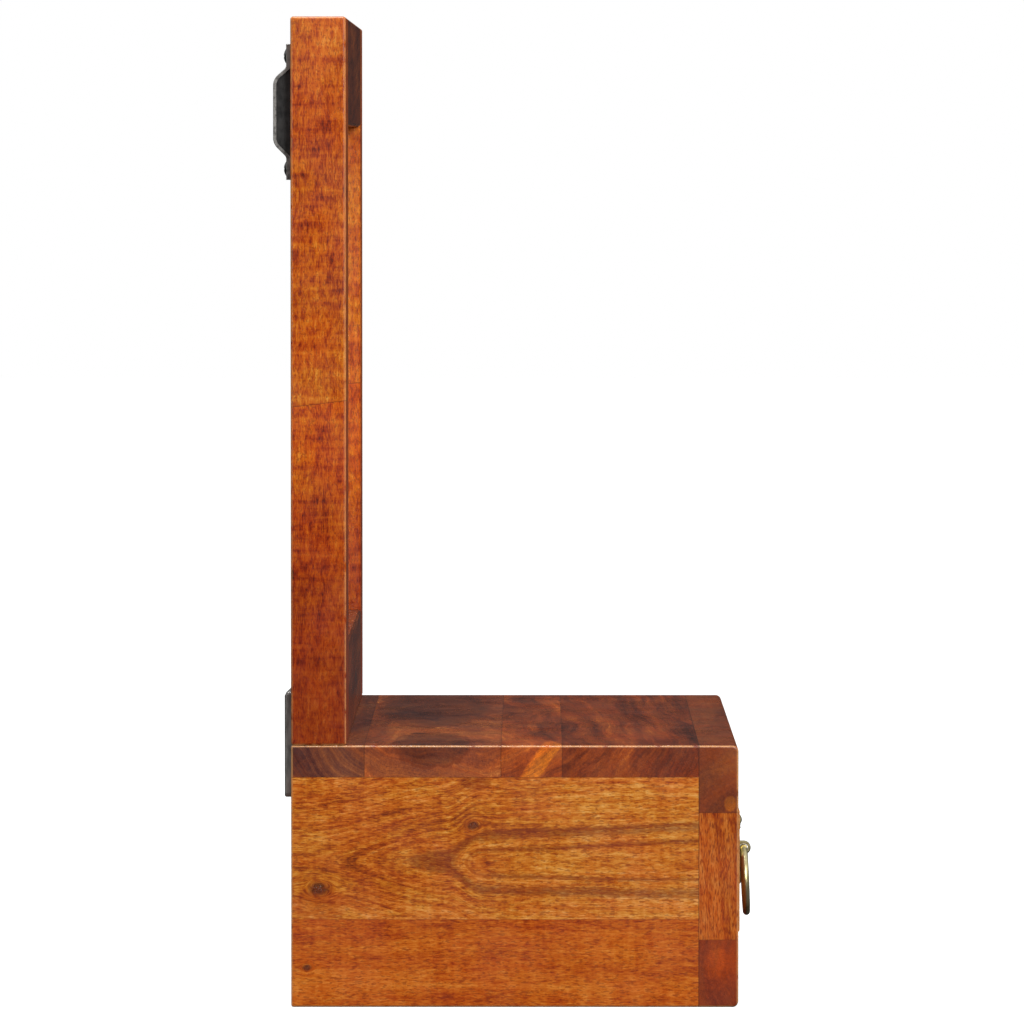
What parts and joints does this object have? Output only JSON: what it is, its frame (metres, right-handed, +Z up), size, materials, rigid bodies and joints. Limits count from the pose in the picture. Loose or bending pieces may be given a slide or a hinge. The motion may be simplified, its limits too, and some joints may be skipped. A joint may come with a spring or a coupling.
{
  "type": "vanity table with mirror",
  "caption": "Low wooden vanity case with side by side drawers, ring pulls and a framed upright mirror fixed along its back edge, made to stand on a table or hang on a wall.",
  "frame": {"origin": "on the ground, under the middle of the whole object seen from above", "axes": "+X to the right of someone facing the front, +Y towards the back, +Z up; the drawers open towards -Y"},
  "size_m": [0.4, 0.244, 0.5],
  "materials": {
    "acacia": "honey lacquer, satin to semi gloss",
    "drawer_wood": "sanded, thin clear coat",
    "dowel_wood": "plain",
    "plywood": "sanded, thin clear coat",
    "hardboard": "plain pressed board",
    "mirror": "silvered behind clear glass",
    "black_steel": "black, satin, bright at worn edges",
    "black_screws": "black, satin",
    "steel_pins": "plain",
    "antique_brass": "antique, polished on the high places",
    "pull_screws": "dark antique"
  },
  "bodies": {
    "case": {"back_panel": "acacia", "backing_beads": "drawer_wood", "bead_pins": "steel_pins", "bottom_panel": "acacia", "case_dowels": "dowel_wood", "centre_divider": "drawer_wood", "drawer_guides": "drawer_wood", "drawer_kickers": "drawer_wood", "drawer_runners": "drawer_wood", "drawer_stops": "drawer_wood", "front_frame_dowels": "dowel_wood", "front_rail_bottom": "acacia", "front_rail_top": "acacia", "front_stile_centre": "acacia", "front_stile_left": "acacia", "front_stile_right": "acacia", "hanger_left": "black_steel", "hanger_right": "black_steel", "hanger_screws": "black_screws", "joining_plate_left": "black_steel", "joining_plate_right": "black_steel", "joining_plate_screws": "black_screws", "mirror_backing_board": "hardboard", "mirror_frame_dowels": "dowel_wood", "mirror_glass": "mirror", "mirror_rail_bottom": "acacia", "mirror_rail_top": "acacia", "mirror_stile_left": "acacia", "mirror_stile_right": "acacia", "side_panel_left": "acacia", "side_panel_right": "acacia", "top_panel": "acacia"},
    "drawer_left": {"drawer_left_back": "drawer_wood", "drawer_left_bottom": "plywood", "drawer_left_dowels": "dowel_wood", "drawer_left_front": "acacia", "drawer_left_side_left": "drawer_wood", "drawer_left_side_right": "drawer_wood", "pull_left_eye": "antique_brass", "pull_left_plate": "antique_brass", "pull_left_screws": "pull_screws"},
    "ring_left": {"pull_left_ring": "antique_brass"},
    "drawer_right": {"drawer_right_back": "drawer_wood", "drawer_right_bottom": "plywood", "drawer_right_dowels": "dowel_wood", "drawer_right_front": "acacia", "drawer_right_side_left": "drawer_wood", "drawer_right_side_right": "drawer_wood", "pull_right_eye": "antique_brass", "pull_right_plate": "antique_brass", "pull_right_screws": "pull_screws"},
    "ring_right": {"pull_right_ring": "antique_brass"}
  },
  "joints": [
    {"name": "drawer_left_slide", "type": "slide", "parent": "case", "child": "drawer_left", "axis": [0, -1, 0], "range_m": [0, 0.15]},
    {"name": "ring_left_swing", "type": "hinge", "parent": "drawer_left", "child": "ring_left", "pos_m": [-0.09175, -0.1183, 0.072], "axis": [-1, 0, 0], "range_deg": [-5.5, 177.5]},
    {"name": "drawer_right_slide", "type": "slide", "parent": "case", "child": "drawer_right", "axis": [0, -1, 0], "range_m": [0, 0.15]},
    {"name": "ring_right_swing", "type": "hinge", "parent": "drawer_right", "child": "ring_right", "pos_m": [0.09175, -0.1183, 0.072], "axis": [-1, 0, 0], "range_deg": [-5.5, 177.5]}
  ]
}
